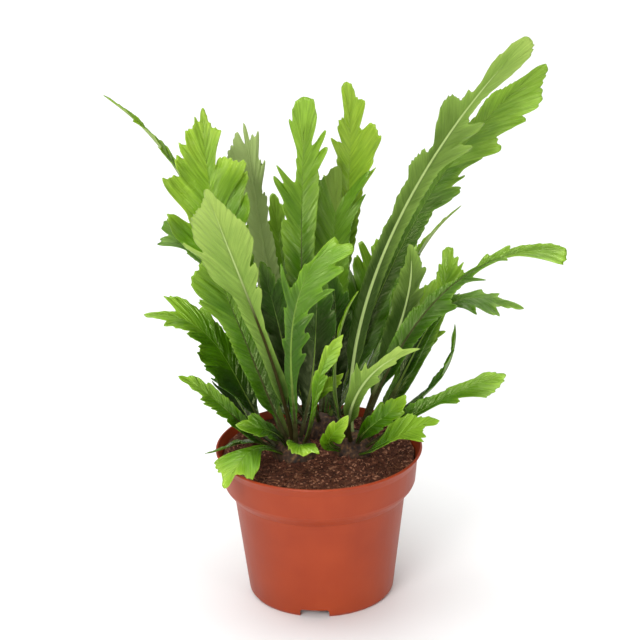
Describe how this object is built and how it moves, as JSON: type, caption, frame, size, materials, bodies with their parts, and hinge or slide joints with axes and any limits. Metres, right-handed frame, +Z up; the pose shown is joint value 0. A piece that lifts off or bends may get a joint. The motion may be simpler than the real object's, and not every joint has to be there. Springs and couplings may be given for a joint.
{
  "type": "potted crested birds nest fern",
  "caption": "Young birds nest fern with crested, deeply lobed strap fronds rising from scaly crowns in peat, in a terracotta-coloured plastic nursery pot.",
  "frame": {"origin": "middle of the pot's foot, on the surface that the pot rests on", "axes": "+Z up, along the pot's axis. The fern's front looks along -Y, and +X is to the right of someone who faces the front."},
  "size_m": [0.2632, 0.1824, 0.3361],
  "materials": {
    "pot_plastic": "satin injection-moulded polypropylene, terracotta coloured",
    "peat": "loose damp peat with reddish crumbs and short fibres",
    "crown_scales": "dry papery brown scales over a short stem",
    "frond_young": "glossy, thin and bright yellow-green new frond",
    "frond_green": "glossy leathery mid-green frond",
    "frond_deep": "glossy leathery dark green frond",
    "frond_sage": "satin greyish green frond that turns its paler underside to the front"
  },
  "bodies": {
    "root": {"pot": "pot_plastic", "soil": "peat", "crown_left": "crown_scales", "crown_right": "crown_scales", "crown_back": "crown_scales", "frond_left_1": "frond_young", "frond_left_2": "frond_sage", "frond_left_3": "frond_deep", "frond_left_4": "frond_green", "frond_left_5": "frond_green", "frond_left_6": "frond_green", "frond_left_7": "frond_young", "frond_left_8": "frond_deep", "frond_left_9": "frond_young", "frond_left_10": "frond_young", "frond_left_11": "frond_young", "frond_left_12": "frond_young", "frond_left_13": "frond_green", "frond_left_14": "frond_deep", "frond_left_15": "frond_deep", "frond_left_16": "frond_deep", "frond_right_1": "frond_sage", "frond_right_2": "frond_deep", "frond_right_3": "frond_green", "frond_right_4": "frond_sage", "frond_right_5": "frond_sage", "frond_right_6": "frond_green", "frond_right_7": "frond_green", "frond_right_8": "frond_green", "frond_right_9": "frond_green", "frond_right_10": "frond_deep", "frond_right_11": "frond_green", "frond_right_12": "frond_green", "frond_right_13": "frond_sage", "frond_right_14": "frond_young", "frond_right_15": "frond_sage", "frond_right_16": "frond_deep", "frond_right_17": "frond_sage", "frond_back_1": "frond_sage", "frond_back_2": "frond_sage", "frond_back_3": "frond_green", "frond_back_4": "frond_young", "frond_back_5": "frond_green", "frond_back_6": "frond_green", "frond_back_7": "frond_deep", "frond_back_8": "frond_green", "frond_back_9": "frond_green", "frond_back_10": "frond_deep", "frond_back_11": "frond_green", "frond_back_12": "frond_green"}
  },
  "joints": []
}
